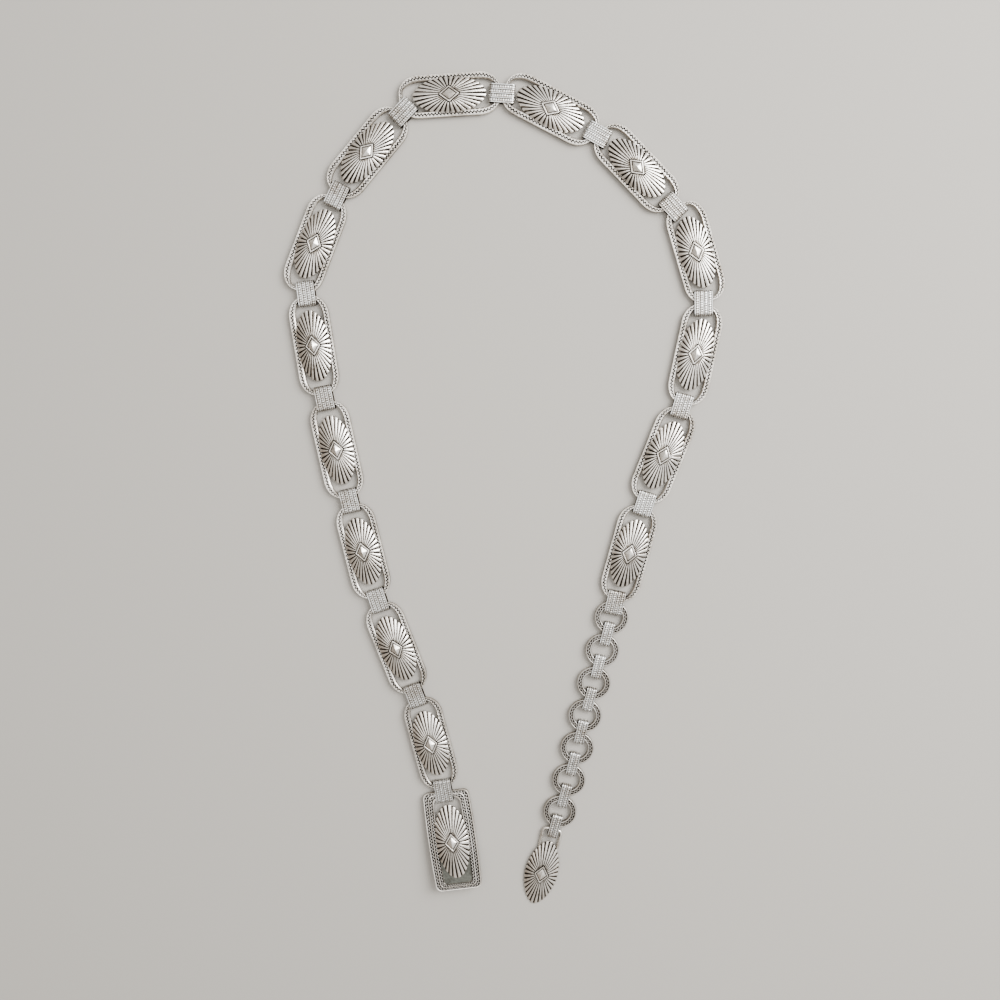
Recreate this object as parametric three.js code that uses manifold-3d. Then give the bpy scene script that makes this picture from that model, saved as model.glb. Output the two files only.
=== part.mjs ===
// Concho belt in oxidised silver, lying flat in an upside-down U.
// In order along the belt: a buckle plate, fourteen concho links, seven rings and an oval drop.
// Folded strip bands hold each piece to the next. Millimetres, +Z up, resting on z = 0.
import * as THREE from "three";
import { mergeVertices } from "three/addons/utils/BufferGeometryUtils.js";
import Module from "manifold-3d";

const wasm = await Module();
wasm.setup();

// Clear space between pieces that touch on the real belt
const CLEARANCE = 0.3;

// Bands: a flat strip folded round two neighbours and closed on itself
const BAND_WALL = 0.8;
const BAND_CORNER = 1.6;
const BAND_FOLD = 0.5;
const WIDE_BAND_WIDTH = 9.6;
const WIDE_BAND_LENGTH = 13.8;
const NARROW_BAND_WIDTH = 5.6;
const NARROW_BAND_LENGTH = 14;
// Height of the bars and rings that a band takes, and of the band round them
const BAR_HEIGHT = 2.2;
const BAR_BOTTOM = BAND_WALL + CLEARANCE;
const BAND_HEIGHT = BAR_HEIGHT + 2 * (CLEARANCE + BAND_WALL);

// Link frames: two rails that run round into thin end bars. The oval laps over each rail.
const FRAME_LENGTH = 53.4;
const FRAME_WIDTH = 22;
const RAIL_LAP = 1.7;
const RAIL_BEVEL = 0.5;
const END_BAR_WIDTH = 1.8;
const FRAME_CORNER_LONG = 10.5;
const FRAME_CORNER_WIDE = 8.6;
const WINDOW_CORNER_LONG = 9.5;
const WINDOW_CORNER_WIDE = 4.7;
const FRAME_CORNER_STEPS = 5;
// Turn of a band, in degrees, at which it has slid to the end of a bar's flat
const FULL_SLIDE = 45;

// Oval conchos: a fluted dome with a diamond boss
const FLUTES = 32;
const CONCHO_LENGTH = 38.8;
const CONCHO_WIDTH = 18.6;
const BUCKLE_CONCHO_LENGTH = 43;
const BUCKLE_CONCHO_WIDTH = 19;
const DROP_CONCHO_LENGTH = 40;
const DROP_CONCHO_WIDTH = 19;
// Powers of the ovals' outlines: 2 is an ellipse, and less draws the two ends out to points
const OVAL_POWER = 2;
const DROP_OVAL_POWER = 1.8;
const RIM_THICKNESS = 0.9;
const FLUTE_DEPTH = 0.35;
const FLUTE_SCALLOP = 0.4;
const DOME_RISE = 2.1;
const DOME_HOLLOW = 1.4;
// Share of the rise that the dome has reached halfway in from its rim
const DOME_SHOULDER = 0.7;
const BOSS_LENGTH = 10.9;
const BOSS_WIDTH = 8.3;
const BOSS_STEP = 0.45;
const PYRAMID_LENGTH = 7.2;
const PYRAMID_WIDTH = 5;
const PYRAMID_RISE = 1;
// How far solder sinks one part of a soldered piece into the other
const SOLDER = 0.25;
const RAIL_WIDTH = (FRAME_WIDTH - CONCHO_WIDTH) / 2 + RAIL_LAP;

// Rings
const RING_OUTER = 18.7;
const RING_INNER = 12;
const RING_BEVEL = 0.6;
const RING_SIDES = 16;

// Buckle plate, with a window at the belt end and a thin floor at the free end
const BUCKLE_LENGTH = 57.5;
const BUCKLE_WIDTH = 26.2;
const BUCKLE_BOW = 0.8;
const BUCKLE_CORNER = 3;
const BUCKLE_LAP = 1.2;
const BUCKLE_BELT_RAIL = 3.6;
const BUCKLE_FREE_RAIL = 5.4;
const BUCKLE_INNER_CORNER = 4.5;
const BUCKLE_BEVEL = 0.5;
const BUCKLE_FLOOR = 0.8;
const BUCKLE_CONCHO_SHIFT = 0.4;
const BUCKLE_CORNER_STEPS = 4;
const BUCKLE_SIDE_STEPS = 4;
const BUCKLE_RAIL = (BUCKLE_WIDTH - BUCKLE_CONCHO_WIDTH) / 2 + BUCKLE_BOW + BUCKLE_LAP;

// Hook under the buckle's free end: a strip that loops down and back towards the belt
const HOOK_WIDTH = 7;
const HOOK_STRIP = 1.1;
const HOOK_LOOP = 2.3;
const HOOK_LENGTH = 9;
const HOOK_SEAT = 5;
const HOOK_FROM_END = 5;
const HOOK_STEPS = 6;

// Drop bail: one wire with rounded corners, soldered behind the oval
const BAIL_WIRE = 1.7;
const BAIL_WIDTH = 12.2;
const BAIL_FOOT_WIDTH = 10;
const BAIL_REACH = 7.8;
const BAIL_FOOT = 4.5;
const BAIL_CORNER = 2.2;
const BAIL_SIDES = 6;
const BAIL_STEPS = 14;

// Route of the chain as it lies, from the buckle to the drop. heading is the piece's own and band
// that of the band before it, in degrees. gap is the space between the two pieces in that band, and
// slide how far the piece has slid to the left along the band's mouth.
const ROUTE = [
  { name: "buckle", heading: 98.3 },
  { name: "link_01", heading: 104.5, band: 99, gap: 2.6, slide: 1.8 },
  { name: "link_02", heading: 111, band: 110, gap: 4.6, slide: 0.5 },
  { name: "link_03", heading: 103.5, band: 108, gap: 4.2, slide: 0.5 },
  { name: "link_04", heading: 102, band: 103, gap: 4.4, slide: 1 },
  { name: "link_05", heading: 98.5, band: 101, gap: 4.3, slide: 1 },
  { name: "link_06", heading: 67.5, band: 97, gap: 1.8, slide: -0.5 },
  { name: "link_07", heading: 49, band: 63, gap: 2.2, slide: -1.5 },
  { name: "link_08", heading: 3, band: 45, gap: 1.6, slide: -0.5 },
  { name: "link_09", heading: -27, band: -4, gap: 1.2, slide: 0.5 },
  { name: "link_10", heading: -45.5, band: -28, gap: 1.5, slide: -0.7 },
  { name: "link_11", heading: -72.5, band: -46, gap: 1.3, slide: 0 },
  { name: "link_12", heading: -101, band: -88, gap: 1.1, slide: -1.6 },
  { name: "link_13", heading: -111, band: -106, gap: 2.9, slide: -0.5 },
  { name: "link_14", heading: -104.5, band: -107, gap: 3.4, slide: -0.5 },
  { name: "ring_1", heading: -101.5, band: -102, gap: 1, slide: -0.7 },
  { name: "ring_2", heading: -103.5, band: -104.5, gap: 0.6, slide: 0 },
  { name: "ring_3", heading: -103, band: -103.5, gap: 0.6, slide: 0 },
  { name: "ring_4", heading: -102, band: -104, gap: 0.6, slide: 0 },
  { name: "ring_5", heading: -101.5, band: -102.5, gap: 0.6, slide: 0 },
  { name: "ring_6", heading: -103, band: -103.5, gap: 0.6, slide: 0 },
  { name: "ring_7", heading: -104.5, band: -104.5, gap: 0.6, slide: 0 },
  { name: "drop", heading: -103.5, band: -105, gap: 1.2, slide: -1 },
];

const silver = new THREE.MeshStandardMaterial({ color: 0xb9b4ab, roughness: 0.34, metalness: 1 });
const darkSilver = new THREE.MeshStandardMaterial({ color: 0x9b968e, roughness: 0.42, metalness: 1 });

function geometryOf(vertices, triangles) {
  const geometry = new THREE.BufferGeometry();
  geometry.setAttribute("position", new THREE.Float32BufferAttribute(vertices.flat(), 3));
  geometry.setIndex(triangles.flat());
  return geometry;
}

function solidOf(geometry) {
  const bare = geometry.clone();
  bare.deleteAttribute("normal");
  bare.deleteAttribute("uv");
  const merged = mergeVertices(bare, 1e-4);
  return new wasm.Manifold(new wasm.Mesh({
    numProp: 3,
    vertProperties: new Float32Array(merged.attributes.position.array),
    triVerts: new Uint32Array(merged.index.array),
  }));
}

function meshOf(name, solid, material) {
  const { vertProperties, triVerts } = solid.getMesh();
  const geometry = new THREE.BufferGeometry();
  geometry.setAttribute("position", new THREE.BufferAttribute(new Float32Array(vertProperties), 3));
  geometry.setIndex(new THREE.BufferAttribute(new Uint32Array(triVerts), 1));
  geometry.computeVertexNormals();
  const mesh = new THREE.Mesh(geometry, material);
  mesh.name = name;
  return mesh;
}

// A tube whose sections, all with the same number of points, follow each other round a closed loop
function closedLoft(sections) {
  const size = sections[0].length;
  const triangles = [];
  sections.forEach((section, i) => {
    const next = (i + 1) % sections.length;
    for (let j = 0; j < size; j += 1) {
      const k = (j + 1) % size;
      triangles.push([i * size + j, next * size + j, next * size + k]);
      triangles.push([i * size + j, next * size + k, i * size + k]);
    }
  });
  return geometryOf(sections.flat(), triangles);
}

// Rings from the underside up to the top, closed by a point at each end. A ring holds as many
// points as the one before it, twice as many or half as many.
function stackedLoft(bottom, rings, top) {
  const vertices = [bottom];
  const starts = rings.map((ring) => {
    const start = vertices.length;
    vertices.push(...ring);
    return start;
  });
  vertices.push(top);
  const triangles = [];
  const first = rings[0].length;
  for (let j = 0; j < first; j += 1) {
    triangles.push([0, starts[0] + ((j + 1) % first), starts[0] + j]);
  }
  for (let r = 0; r + 1 < rings.length; r += 1) {
    const low = rings[r].length;
    const high = rings[r + 1].length;
    const steps = Math.max(low, high);
    for (let j = 0; j < steps; j += 1) {
      const a = starts[r] + (Math.ceil((j * low) / steps) % low);
      const b = starts[r] + (Math.ceil(((j + 1) * low) / steps) % low);
      const c = starts[r + 1] + (Math.ceil((j * high) / steps) % high);
      const d = starts[r + 1] + (Math.ceil(((j + 1) * high) / steps) % high);
      if (a !== b) triangles.push([a, b, d]);
      if (c !== d) triangles.push([a, d, c]);
    }
  }
  const last = rings[rings.length - 1].length;
  const start = starts[rings.length - 1];
  for (let j = 0; j < last; j += 1) {
    triangles.push([start + j, start + ((j + 1) % last), vertices.length - 1]);
  }
  return geometryOf(vertices, triangles);
}

// Points of a rectangle with elliptic corners. Each point says how much it belongs to a side
// (1) or to an end (0).
function roundedOutline(halfLong, halfWide, cornerLong, cornerWide, steps) {
  const points = [];
  for (let corner = 0; corner < 4; corner += 1) {
    for (let step = 0; step <= steps; step += 1) {
      const angle = ((corner + step / steps) * Math.PI) / 2;
      const signX = corner === 0 || corner === 3 ? 1 : -1;
      const signY = corner < 2 ? 1 : -1;
      points.push({
        x: signX * (halfLong - cornerLong) + cornerLong * Math.cos(angle),
        y: signY * (halfWide - cornerWide) + cornerWide * Math.sin(angle),
        side: Math.abs(Math.sin(angle)),
      });
    }
  }
  return points;
}

// Link frame, lying along X with its underside at z = 0
function linkFrame() {
  const outer = roundedOutline(
    FRAME_LENGTH / 2, FRAME_WIDTH / 2, FRAME_CORNER_LONG, FRAME_CORNER_WIDE, FRAME_CORNER_STEPS,
  );
  const inner = roundedOutline(
    FRAME_LENGTH / 2 - END_BAR_WIDTH,
    FRAME_WIDTH / 2 - RAIL_WIDTH,
    WINDOW_CORNER_LONG,
    WINDOW_CORNER_WIDE,
    FRAME_CORNER_STEPS,
  );
  return closedLoft(outer.map((point, i) => {
    return [
      [point.x, point.y, 0],
      [point.x, point.y, BAR_HEIGHT],
      [inner[i].x, inner[i].y, BAR_HEIGHT - RAIL_BEVEL * point.side],
      [inner[i].x, inner[i].y, 0],
    ];
  }));
}

// Points at even distances round an oval, whose length is added up from fine steps
function evenOval(halfLong, halfWide, power, count) {
  const fine = 720;
  const onOval = (step) => {
    const angle = (step / fine) * 2 * Math.PI;
    const along = Math.cos(angle);
    const across = Math.sin(angle);
    return [
      halfLong * Math.sign(along) * Math.abs(along) ** (2 / power),
      halfWide * Math.sign(across) * Math.abs(across) ** (2 / power),
    ];
  };
  const travelled = [0];
  for (let step = 1; step <= fine; step += 1) {
    const [x, y] = onOval(step);
    const [lastX, lastY] = onOval(step - 1);
    travelled.push(travelled[step - 1] + Math.hypot(x - lastX, y - lastY));
  }
  const points = [];
  let step = 0;
  for (let j = 0; j < count; j += 1) {
    const goal = (travelled[fine] * j) / count;
    while (travelled[step + 1] < goal) step += 1;
    const share = (goal - travelled[step]) / (travelled[step + 1] - travelled[step]);
    points.push(onOval(step + share));
  }
  return points;
}

// Oval concho with its rim's underside at z = 0
function concho(length, width, power = OVAL_POWER) {
  const rimTop = RIM_THICKNESS;
  const domeTop = rimTop + DOME_RISE;
  const rim = evenOval(length / 2, width / 2, power, 2 * FLUTES).map(([x, y], i) => {
    const groove = i % 2;
    const inward = 1 - (groove * FLUTE_SCALLOP) / Math.hypot(x, y);
    return [x * inward, y * inward, rimTop - groove * FLUTE_DEPTH];
  });
  const under = evenOval(length / 2 - FLUTE_SCALLOP, width / 2 - FLUTE_SCALLOP, power, FLUTES);
  const middle = evenOval((length + BOSS_LENGTH) / 4, (width + BOSS_WIDTH) / 4, power, FLUTES);
  const centre = evenOval(BOSS_LENGTH / 2, BOSS_WIDTH / 2, OVAL_POWER, FLUTES / 2);
  const dome = solidOf(stackedLoft(
    [0, 0, DOME_HOLLOW],
    [
      under.map(([x, y]) => [x, y, 0]),
      rim,
      middle.map(([x, y]) => [x, y, rimTop + DOME_SHOULDER * DOME_RISE]),
      centre.map(([x, y]) => [x, y, domeTop]),
    ],
    [0, 0, domeTop],
  ));
  const rhombus = (long, wide, z) => [
    [long / 2, 0, z],
    [0, wide / 2, z],
    [-long / 2, 0, z],
    [0, -wide / 2, z],
  ];
  const stepTop = domeTop + BOSS_STEP;
  const boss = solidOf(stackedLoft(
    [0, 0, domeTop - BOSS_STEP],
    [
      rhombus(BOSS_LENGTH, BOSS_WIDTH, domeTop - BOSS_STEP),
      rhombus(BOSS_LENGTH, BOSS_WIDTH, stepTop),
      rhombus(PYRAMID_LENGTH, PYRAMID_WIDTH, stepTop),
    ],
    [0, 0, stepTop + PYRAMID_RISE],
  ));
  return dome.add(boss);
}

// A concho soldered over the rails of its frame
function conchoLink() {
  const railAtRim = BAR_HEIGHT - RAIL_BEVEL;
  const oval = concho(CONCHO_LENGTH, CONCHO_WIDTH).translate([0, 0, railAtRim - SOLDER / 2]);
  return solidOf(linkFrame()).add(oval);
}

// Band round two end bars, centred on X and Y with its underside at z = 0
function band(length, width) {
  const rounded = (shape, halfLong, bottom, top, corner, steps) => {
    const points = roundedOutline(halfLong, (top - bottom) / 2, corner, corner, steps);
    shape.setFromPoints(points.map(({ x, y }) => new THREE.Vector2(x, y + (top + bottom) / 2)));
    return shape;
  };
  const shape = rounded(new THREE.Shape(), length / 2, 0, BAND_HEIGHT, BAND_CORNER, 2);
  shape.holes.push(rounded(
    new THREE.Path(), length / 2 - BAND_WALL, BAND_WALL, BAND_HEIGHT - BAND_WALL, BAND_FOLD, 1,
  ));
  const geometry = new THREE.ExtrudeGeometry(shape, { depth: width, bevelEnabled: false });
  geometry.rotateX(Math.PI / 2);
  geometry.translate(0, width / 2, 0);
  return solidOf(geometry);
}

// Flat-section ring with bevelled top edges, its underside at z = 0
function ring() {
  const outer = RING_OUTER / 2;
  const inner = RING_INNER / 2;
  const profile = [
    [inner, 0],
    [outer, 0],
    [outer, BAR_HEIGHT - RING_BEVEL],
    [outer - RING_BEVEL, BAR_HEIGHT],
    [inner + RING_BEVEL, BAR_HEIGHT],
    [inner, BAR_HEIGHT - RING_BEVEL],
    [inner, 0],
  ].map(([x, y]) => new THREE.Vector2(x, y));
  return solidOf(new THREE.LatheGeometry(profile, RING_SIDES).rotateX(Math.PI / 2));
}

// Outline of the buckle's plate: its long sides bow out
function buckleOutline(left, right, halfWide, corner) {
  const middle = (left + right) / 2;
  const half = (right - left) / 2;
  const bow = (x) => BUCKLE_BOW * (1 - (x / (BUCKLE_LENGTH / 2)) ** 2);
  const points = [];
  for (let quarter = 0; quarter < 4; quarter += 1) {
    const signX = quarter === 0 || quarter === 3 ? 1 : -1;
    const signY = quarter < 2 ? 1 : -1;
    for (let step = 0; step <= BUCKLE_CORNER_STEPS; step += 1) {
      const angle = ((quarter + step / BUCKLE_CORNER_STEPS) * Math.PI) / 2;
      points.push([
        middle + signX * (half - corner) + corner * Math.cos(angle),
        signY * (halfWide - corner) + corner * Math.sin(angle),
      ]);
    }
    if (quarter % 2 === 0) {
      for (let step = 1; step < BUCKLE_SIDE_STEPS; step += 1) {
        const share = 1 - (2 * step) / BUCKLE_SIDE_STEPS;
        points.push([middle + signX * share * (half - corner), signY * halfWide]);
      }
    }
  }
  return points.map(([x, y]) => [x, y + Math.sign(y) * bow(x)]);
}

// Buckle plate along X with its belt end at +X, its underside at z = 0
function bucklePlate() {
  const half = BUCKLE_LENGTH / 2;
  const outer = buckleOutline(-half, half, BUCKLE_WIDTH / 2, BUCKLE_CORNER);
  const inner = buckleOutline(
    BUCKLE_FREE_RAIL - half,
    half - BUCKLE_BELT_RAIL,
    BUCKLE_WIDTH / 2 - BUCKLE_RAIL,
    BUCKLE_INNER_CORNER,
  );
  const rails = solidOf(closedLoft(outer.map(([x, y], i) => [
    [x, y, 0],
    [x, y, BAR_HEIGHT],
    [inner[i][0], inner[i][1], BAR_HEIGHT - BUCKLE_BEVEL],
    [inner[i][0], inner[i][1], 0],
  ])));
  const floorLength = half - BUCKLE_FREE_RAIL / 2;
  const floor = new THREE.BoxGeometry(floorLength, BUCKLE_WIDTH - BUCKLE_RAIL, BUCKLE_FLOOR);
  floor.translate(-floorLength / 2, 0, BUCKLE_FLOOR / 2);
  const oval = concho(BUCKLE_CONCHO_LENGTH, BUCKLE_CONCHO_WIDTH);
  return rails.add(solidOf(floor)).add(
    oval.translate([-BUCKLE_CONCHO_SHIFT, 0, BAR_HEIGHT - BUCKLE_BEVEL - SOLDER / 2]),
  );
}

// The hook's loop is a half circle towards the free end. Its upper leg is soldered to the plate,
// which rises from the belt end so that the lower leg lies flat.
const HOOK_RADIUS = HOOK_LOOP / 2 + HOOK_STRIP;
const HOOK_AXIS = HOOK_FROM_END + HOOK_RADIUS - BUCKLE_LENGTH / 2;
const BUCKLE_PITCH = Math.atan((2 * HOOK_RADIUS - SOLDER - BAR_BOTTOM) / (BUCKLE_LENGTH / 2 - HOOK_AXIS));

function hook() {
  const outline = new THREE.Shape();
  outline.moveTo(HOOK_AXIS + HOOK_SEAT, 2 * HOOK_RADIUS);
  outline.lineTo(HOOK_AXIS, 2 * HOOK_RADIUS);
  outline.absarc(HOOK_AXIS, HOOK_RADIUS, HOOK_RADIUS, Math.PI / 2, 1.5 * Math.PI, false);
  outline.lineTo(HOOK_AXIS + HOOK_LENGTH, 0);
  outline.lineTo(HOOK_AXIS + HOOK_LENGTH, HOOK_STRIP);
  outline.lineTo(HOOK_AXIS, HOOK_STRIP);
  outline.absarc(HOOK_AXIS, HOOK_RADIUS, HOOK_LOOP / 2, 1.5 * Math.PI, Math.PI / 2, true);
  outline.lineTo(HOOK_AXIS + HOOK_SEAT, 2 * HOOK_RADIUS - HOOK_STRIP);
  const geometry = new THREE.ExtrudeGeometry(outline, {
    depth: HOOK_WIDTH, bevelEnabled: false, curveSegments: HOOK_STEPS,
  });
  geometry.rotateX(Math.PI / 2);
  geometry.translate(0, HOOK_WIDTH / 2, 0);
  return solidOf(geometry);
}

// Buckle with its hook: the belt end lies at bar height, the free end rests on the hook
function buckle() {
  const half = BUCKLE_LENGTH / 2;
  const degrees = THREE.MathUtils.radToDeg(BUCKLE_PITCH);
  return bucklePlate()
    .translate([-half, 0, 0])
    .rotate([0, degrees, 0])
    .translate([half, 0, BAR_BOTTOM])
    .add(hook());
}

// Bail wire: up one side, across the bar and down the other, its bar at x = 0
function bailWire() {
  const bar = BAIL_WIRE / 2;
  const foot = BAIL_REACH + BAIL_FOOT;
  const points = [
    [foot, -BAIL_FOOT_WIDTH / 2],
    [bar + BAIL_CORNER, BAIL_WIRE / 2 - BAIL_WIDTH / 2],
    [bar, BAIL_CORNER - BAIL_WIDTH / 2],
    [bar, BAIL_WIDTH / 2 - BAIL_CORNER],
    [bar + BAIL_CORNER, BAIL_WIDTH / 2 - BAIL_WIRE / 2],
    [foot, BAIL_FOOT_WIDTH / 2],
  ].map(([x, y]) => new THREE.Vector3(x, y, 0));
  const path = new THREE.CurvePath();
  const [start, lowSide, lowBar, highBar, highSide, end] = points;
  const corner = (from, to) => new THREE.QuadraticBezierCurve3(
    from, new THREE.Vector3(bar, Math.sign(from.y) * (BAIL_WIDTH / 2 - BAIL_WIRE / 2), 0), to,
  );
  path.add(new THREE.LineCurve3(start, lowSide));
  path.add(corner(lowSide, lowBar));
  path.add(new THREE.LineCurve3(lowBar, highBar));
  path.add(corner(highBar, highSide));
  path.add(new THREE.LineCurve3(highSide, end));
  const section = new THREE.Shape();
  for (let side = 0; side < BAIL_SIDES; side += 1) {
    const angle = ((side + 0.5) / BAIL_SIDES) * 2 * Math.PI;
    const point = [(BAIL_WIRE / 2) * Math.cos(angle), (BAIL_WIRE / 2) * Math.sin(angle)];
    if (side === 0) section.moveTo(...point);
    else section.lineTo(...point);
  }
  return solidOf(new THREE.ExtrudeGeometry(section, { steps: BAIL_STEPS, extrudePath: path }));
}

// Drop, its bail's bar at x = 0 and at bar height, its far tip resting on the surface
function drop() {
  const oval = concho(DROP_CONCHO_LENGTH, DROP_CONCHO_WIDTH, DROP_OVAL_POWER)
    .translate([BAIL_REACH + DROP_CONCHO_LENGTH / 2, 0, BAIL_WIRE - SOLDER]);
  const bail = bailWire().translate([0, 0, BAIL_WIRE / 2]);
  const tipAlong = BAIL_REACH + DROP_CONCHO_LENGTH - FLUTE_SCALLOP;
  const tipAbove = BAIL_WIRE - SOLDER;
  const tilt = Math.asin(BAR_BOTTOM / Math.hypot(tipAlong, tipAbove)) + Math.atan2(tipAbove, tipAlong);
  return bail.add(oval)
    .rotate([0, THREE.MathUtils.radToDeg(tilt), 0])
    .translate([0, 0, BAR_BOTTOM]);
}

const unit = (degrees) => {
  const angle = THREE.MathUtils.degToRad(degrees);
  return new THREE.Vector2(Math.cos(angle), Math.sin(angle));
};

const turned = (vector, degrees) => (
  vector.rotateAround(new THREE.Vector2(0, 0), THREE.MathUtils.degToRad(degrees))
);

// From a link's centre to where its end touches a line square to a band turned by this angle
// from the link's own heading. The flat of the end bar is slid along as the angle grows.
function linkReach(turn) {
  const towards = unit(turn);
  const long = FRAME_CORNER_LONG * towards.x;
  const wide = FRAME_CORNER_WIDE * towards.y;
  const size = Math.hypot(long, wide);
  const flat = (FRAME_WIDTH / 2 - FRAME_CORNER_WIDE) * THREE.MathUtils.clamp(turn / FULL_SLIDE, -1, 1);
  return new THREE.Vector2(
    FRAME_LENGTH / 2 - FRAME_CORNER_LONG + (FRAME_CORNER_LONG * long) / size,
    flat + (FRAME_CORNER_WIDE * wide) / size,
  );
}

// Each kind of piece: its solid, the height of its underside, its reach towards a band and the
// width of metal that the band takes there
const wideBand = band(WIDE_BAND_LENGTH, WIDE_BAND_WIDTH);
const narrowBand = band(NARROW_BAND_LENGTH, NARROW_BAND_WIDTH);
const KINDS = {
  buckle: {
    solid: buckle(),
    material: silver,
    height: 0,
    reach: () => new THREE.Vector2(BUCKLE_LENGTH / 2, 0),
    metal: () => BUCKLE_BELT_RAIL,
  },
  link: {
    solid: conchoLink(),
    material: silver,
    height: BAR_BOTTOM,
    reach: linkReach,
    metal: (turn) => END_BAR_WIDTH
      + (RAIL_WIDTH - END_BAR_WIDTH) * Math.min(1, Math.abs(turn) / FULL_SLIDE),
  },
  ring: {
    solid: ring(),
    material: darkSilver,
    height: BAR_BOTTOM,
    reach: (turn) => unit(turn).multiplyScalar(RING_OUTER / 2),
    metal: () => (RING_OUTER - RING_INNER) / 2,
  },
  drop: {
    solid: drop(),
    material: silver,
    height: 0,
    reach: () => new THREE.Vector2(0, 0),
    metal: () => BAIL_WIRE,
  },
};
const kindOf = (name) => KINDS[name.split("_")[0]];

const belt = new THREE.Group();
belt.name = "concho_belt";

function place(name, kind, at, heading) {
  const mesh = meshOf(name, kind.solid, kind.material);
  mesh.position.set(at.x, at.y, kind.height);
  mesh.rotation.z = THREE.MathUtils.degToRad(heading);
  belt.add(mesh);
}

// The wide band on the first ring goes as deep into the ring's hole as its width lets it
const hole = (RING_INNER / 2) * Math.cos(Math.PI / RING_SIDES) - CLEARANCE;
const ringSeat = Math.sqrt(hole ** 2 - (WIDE_BAND_WIDTH / 2) ** 2)
  + WIDE_BAND_LENGTH / 2 - BAND_WALL - BAND_FOLD;

// Walk along the route, from where one piece meets its band to where the next one does
let previous = ROUTE[0];
let centre = new THREE.Vector2(0, 0);
let wideBands = 0;
let narrowBands = 0;
place(previous.name, kindOf(previous.name), centre, previous.heading);

for (const stop of ROUTE.slice(1)) {
  const forward = unit(stop.band);
  const left = unit(stop.band + 90);
  const lastKind = kindOf(previous.name);
  const kind = kindOf(stop.name);
  const lastTurn = stop.band - previous.heading;
  const turn = stop.band - stop.heading;
  const from = centre.clone().add(turned(lastKind.reach(lastTurn), previous.heading));
  const to = from.clone().addScaledVector(forward, stop.gap).addScaledVector(left, stop.slide);
  centre = to.clone().add(turned(kind.reach(turn), stop.heading));
  const shift = (kind.metal(turn) - lastKind.metal(lastTurn)) / 2;
  let bandCentre = from.clone().add(to).multiplyScalar(0.5).addScaledVector(forward, shift);
  if (stop.name === "ring_1") bandCentre = centre.clone().addScaledVector(forward, -ringSeat);
  const bandKind = { material: silver, height: 0 };
  if (previous.name.startsWith("ring")) {
    narrowBands += 1;
    bandKind.solid = narrowBand;
    place(`narrow_band_${narrowBands}`, bandKind, bandCentre, stop.band);
  } else {
    wideBands += 1;
    bandKind.solid = wideBand;
    place(`wide_band_${String(wideBands).padStart(2, "0")}`, bandKind, bandCentre, stop.band);
  }
  place(stop.name, kind, centre, stop.heading);
  previous = stop;
}

// Origin under the middle of the whole belt
belt.updateMatrixWorld(true);
const box = new THREE.Box3().setFromObject(belt, true);
belt.position.set(-(box.min.x + box.max.x) / 2, -(box.min.y + box.max.y) / 2, 0);
belt.updateMatrixWorld(true);

export default belt;
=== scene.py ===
"""Concho belt in oxidised silver, dressed for rendering on its fixed frame.

Every piece is drawn at its own middle, then laid where its plain solid lies in the frame.
"""

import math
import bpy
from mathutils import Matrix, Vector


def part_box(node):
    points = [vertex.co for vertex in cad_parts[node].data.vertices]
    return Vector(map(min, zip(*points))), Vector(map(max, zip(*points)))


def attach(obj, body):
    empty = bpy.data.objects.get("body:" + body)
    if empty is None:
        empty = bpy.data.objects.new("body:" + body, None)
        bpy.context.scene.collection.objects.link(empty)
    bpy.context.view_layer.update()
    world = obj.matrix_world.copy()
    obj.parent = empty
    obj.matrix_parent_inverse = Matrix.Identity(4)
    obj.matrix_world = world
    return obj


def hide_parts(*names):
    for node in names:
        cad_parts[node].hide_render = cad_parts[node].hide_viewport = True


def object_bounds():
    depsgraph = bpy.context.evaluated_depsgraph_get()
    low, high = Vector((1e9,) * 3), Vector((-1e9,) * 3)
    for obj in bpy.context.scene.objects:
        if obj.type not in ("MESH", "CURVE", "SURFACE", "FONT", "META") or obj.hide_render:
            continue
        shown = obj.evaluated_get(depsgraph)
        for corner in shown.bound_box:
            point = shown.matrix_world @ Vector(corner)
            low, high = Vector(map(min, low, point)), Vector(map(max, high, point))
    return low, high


bl_info = {
    "name": "Concho Belt",
    "version": (1, 0, 0),
    "blender": (4, 5, 0),
    "location": "View3D > Sidebar > Concho Belt",
    "description": "Oval fluted conchos on open frames, bands, rings, buckle and end drop in silver",
    "category": "Add Mesh",
}

from collections import namedtuple

import bmesh
import bpy
import numpy as np
from bpy.props import FloatProperty, FloatVectorProperty, IntProperty, PointerProperty, StringProperty
from mathutils import Matrix, Vector

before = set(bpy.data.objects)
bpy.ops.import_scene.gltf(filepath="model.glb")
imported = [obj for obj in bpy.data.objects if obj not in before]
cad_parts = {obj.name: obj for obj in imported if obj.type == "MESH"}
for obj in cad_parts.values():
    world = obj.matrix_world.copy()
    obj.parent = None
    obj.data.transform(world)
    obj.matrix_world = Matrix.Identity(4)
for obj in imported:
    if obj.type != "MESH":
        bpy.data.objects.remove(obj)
CAD_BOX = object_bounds()
MM = 0.001

# Places from 0 to this run once round a rounded outline
ONCE_ROUND = 8

# How many points an outline's length is measured over
FINE_STEPS = 1601

# How far the bars of the buckle and of the bail lie clear of the band round them
BAR_CLEARANCE = 0.3 * MM
BAIL_CLEARANCE = 0.34 * MM

# A point of a plain solid that lies lower than this touches the ground
NEAR_GROUND = 0.2 * MM

# One line of points along a rail. across runs from 0 at the outer outline to 1 at the next one, and on
# to 2 where there is a third, level from 0 at the underside to 1 at the top, and tarnish from 0, rubbed
# bright, to 1, black. swing is the share of the rail's width that the line weaves to either side.
Row = namedtuple("Row", "across level tarnish swing", defaults=(0.0,))

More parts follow.
